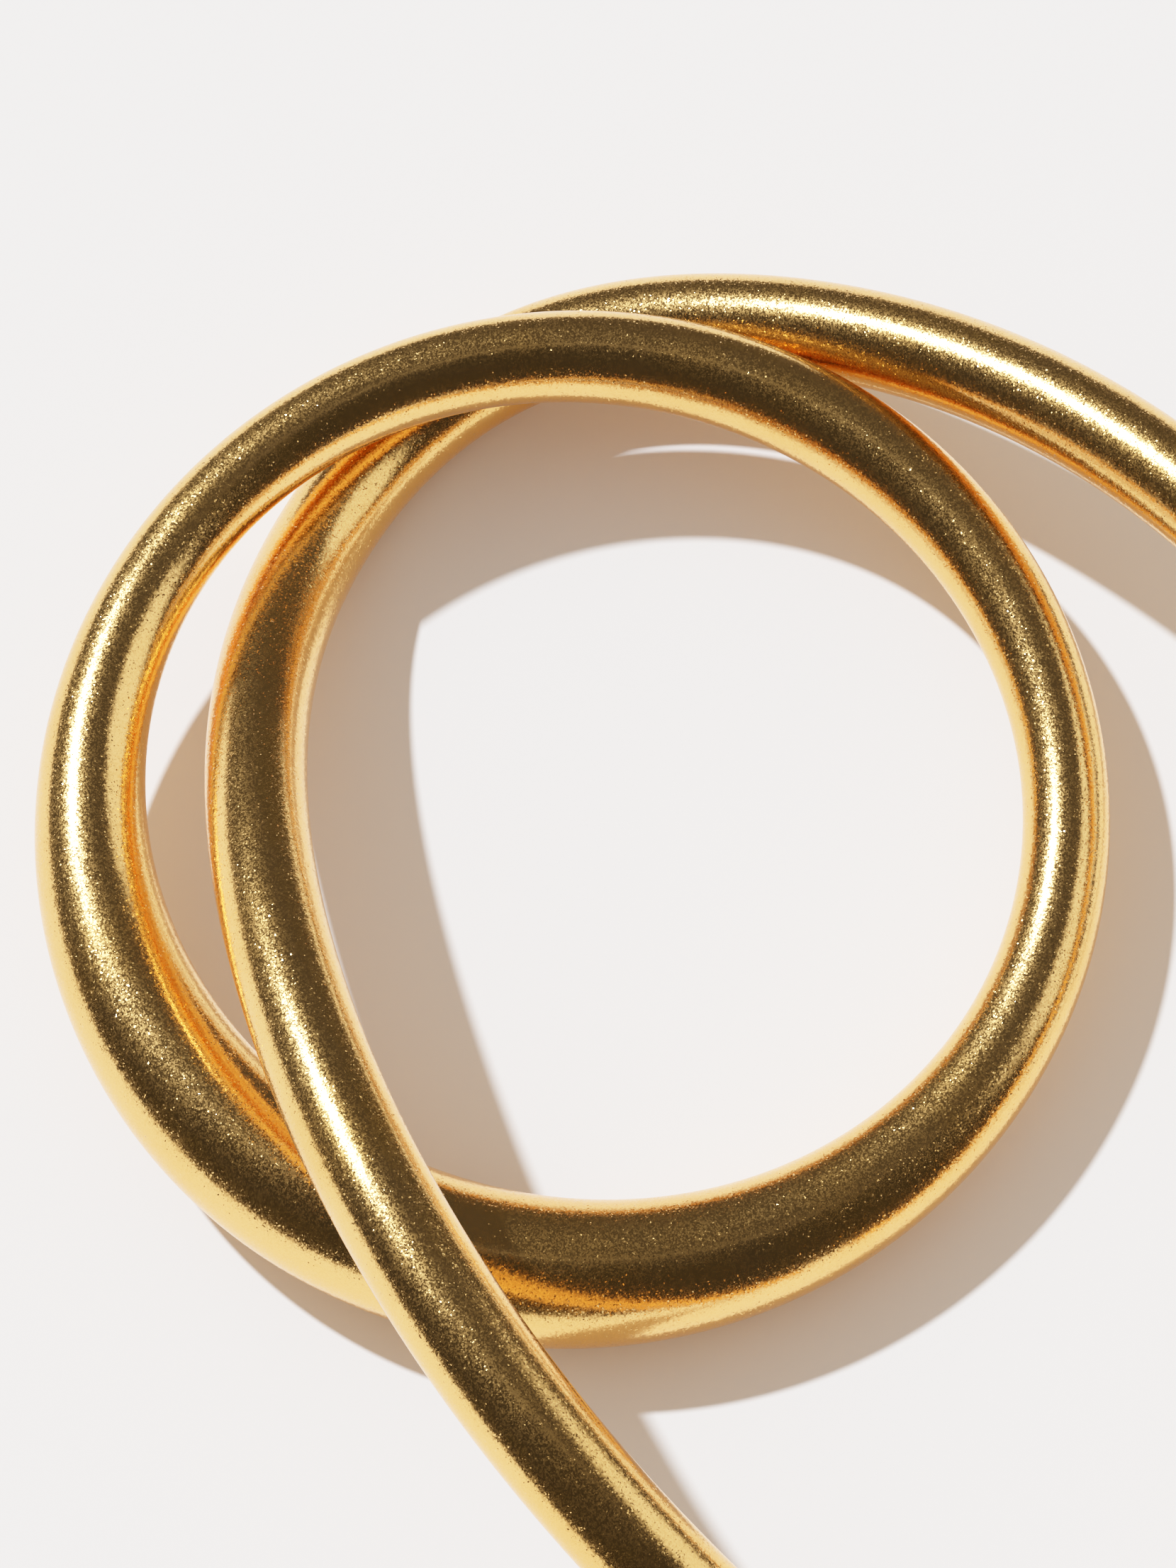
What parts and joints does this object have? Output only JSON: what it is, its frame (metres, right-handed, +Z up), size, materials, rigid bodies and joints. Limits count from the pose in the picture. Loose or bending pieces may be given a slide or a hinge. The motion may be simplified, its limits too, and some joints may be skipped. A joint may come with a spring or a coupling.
{
  "type": "metal ring disentanglement puzzle",
  "caption": "Satin gold wire puzzle: a closed ring with a heavy side, linked with a longer, bent, open ring whose gap lets only the thin half of the closed ring through.",
  "frame": {"origin": "on the surface the rings lie on, under the middle of the pair's outer box", "axes": "+Z up from the surface; +X to the right and +Y away, seen from the side where the open ring's gap is nearest"},
  "size_m": [0.0812, 0.0908, 0.0191],
  "materials": {
    "ring_gold": "satin, finely grained",
    "loop_gold": "satin, finely grained"
  },
  "bodies": {
    "loop": {"open_ring": "loop_gold"},
    "ring": {"closed_ring": "ring_gold"}
  },
  "joints": [
    {"name": "ring_tip", "type": "hinge", "parent": "loop", "child": "ring", "pos_m": [-0.01728, -0.01271, 0.00412], "axis": [0.9848, -0.1736, 0], "range_deg": [0, 150]}
  ]
}
